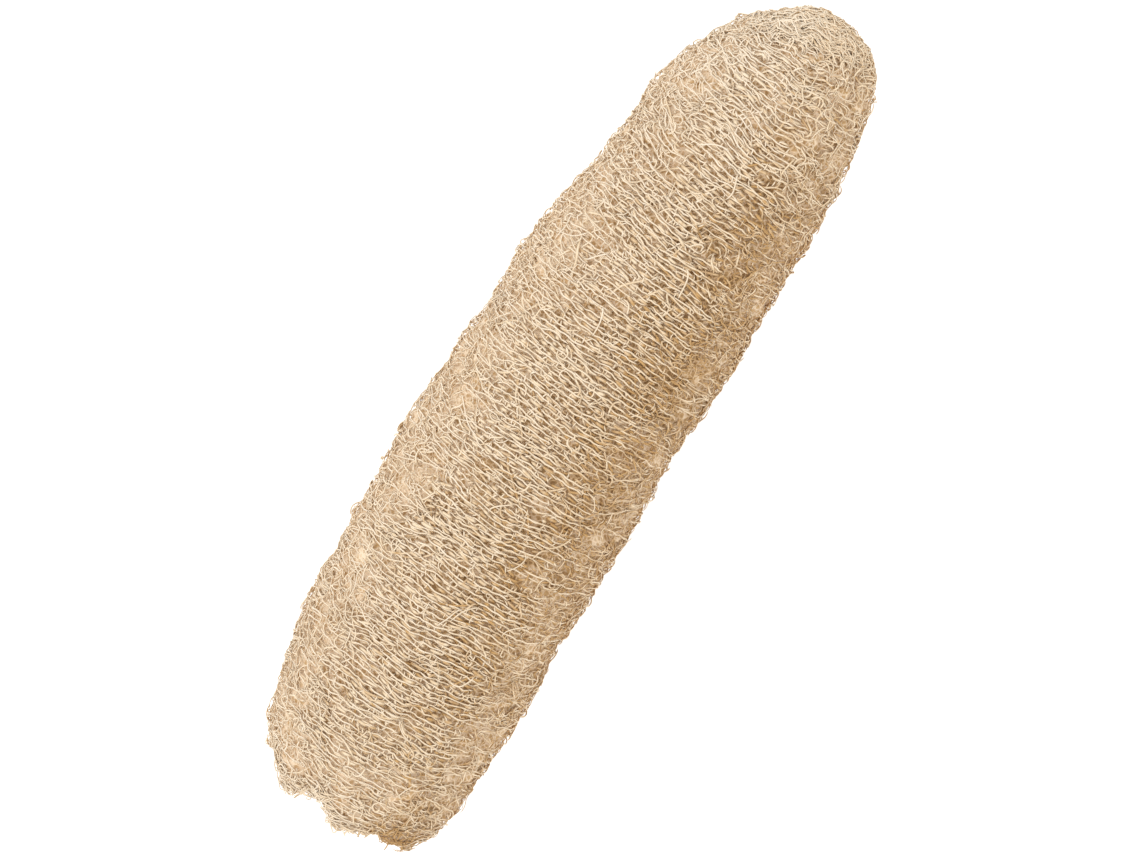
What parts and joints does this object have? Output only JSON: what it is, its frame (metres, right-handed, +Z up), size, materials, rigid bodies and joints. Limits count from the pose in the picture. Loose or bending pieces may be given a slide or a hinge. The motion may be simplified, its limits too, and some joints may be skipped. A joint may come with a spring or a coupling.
{
  "type": "natural loofah sponge",
  "caption": "Whole natural loofah: a long, slightly bent sponge of tangled gourd fibres, domed at the stem end and torn open at the other, where seed channels run in.",
  "frame": {"origin": "on the surface that the sponge lies on, under the middle of its bounding box", "axes": "+X along the gourd towards its closed, domed stem end, +Z up, +Y towards the side that the gourd's bend bulges to"},
  "size_m": [0.3196, 0.0898, 0.0818],
  "materials": {
    "dried_gourd_fibre": "dry, matt and fibrous"
  },
  "bodies": {
    "root": {"fibre_sponge": "dried_gourd_fibre"}
  },
  "joints": []
}
